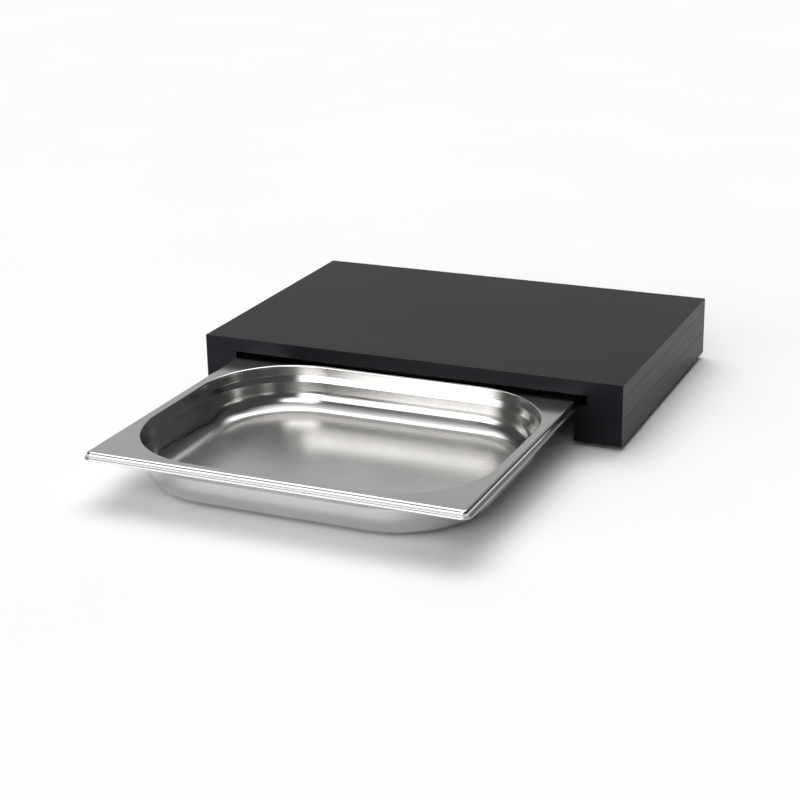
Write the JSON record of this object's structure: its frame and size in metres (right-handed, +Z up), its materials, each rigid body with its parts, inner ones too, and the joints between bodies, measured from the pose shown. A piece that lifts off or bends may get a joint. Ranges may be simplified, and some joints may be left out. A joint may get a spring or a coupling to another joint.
{
  "type": "chopping board block with pull-out pan",
  "caption": "Low black three-layer board block on feet, with a shallow stainless gastronorm pan that slides out from under its top board.",
  "frame": {"origin": "on the table, under the middle of the whole object's outline with the pan pulled out: the block's left and right sides are 196 mm away, its front face is 9 mm in front", "axes": "+X to the right seen from the front, +Y to the back (the pan pulls out towards -Y), +Z up"},
  "size_m": [0.392, 0.5206, 0.059],
  "materials": {
    "board_black": "matt, through-coloured compact board",
    "pan_steel": "satin pressed stainless steel",
    "foot_rubber": "matt",
    "fastener_steel": "plain stainless steel",
    "insert_brass": "turned"
  },
  "bodies": {
    "block": {"top_board": "board_black", "runner_rail_left": "board_black", "runner_rail_right": "board_black", "runner_rail_rear": "board_black", "base_rail_left": "board_black", "base_rail_right": "board_black", "base_rail_rear": "board_black", "foot_front_left": "foot_rubber", "foot_front_right": "foot_rubber", "foot_rear_left": "foot_rubber", "foot_rear_right": "foot_rubber", "foot_screws": "fastener_steel", "foot_washers": "fastener_steel", "frame_screws_left": "fastener_steel", "frame_screws_right": "fastener_steel", "frame_screws_rear": "fastener_steel", "threaded_inserts_left": "insert_brass", "threaded_inserts_right": "insert_brass", "threaded_inserts_rear": "insert_brass", "dowel_pins_left": "fastener_steel", "dowel_pins_right": "fastener_steel", "dowel_pins_rear": "fastener_steel"},
    "pan": {"gn_pan": "pan_steel"}
  },
  "joints": [
    {"name": "pan_slide", "type": "slide", "parent": "block", "child": "pan", "axis": [0, -1, 0], "range_m": [-0.239, 0.0135]}
  ]
}
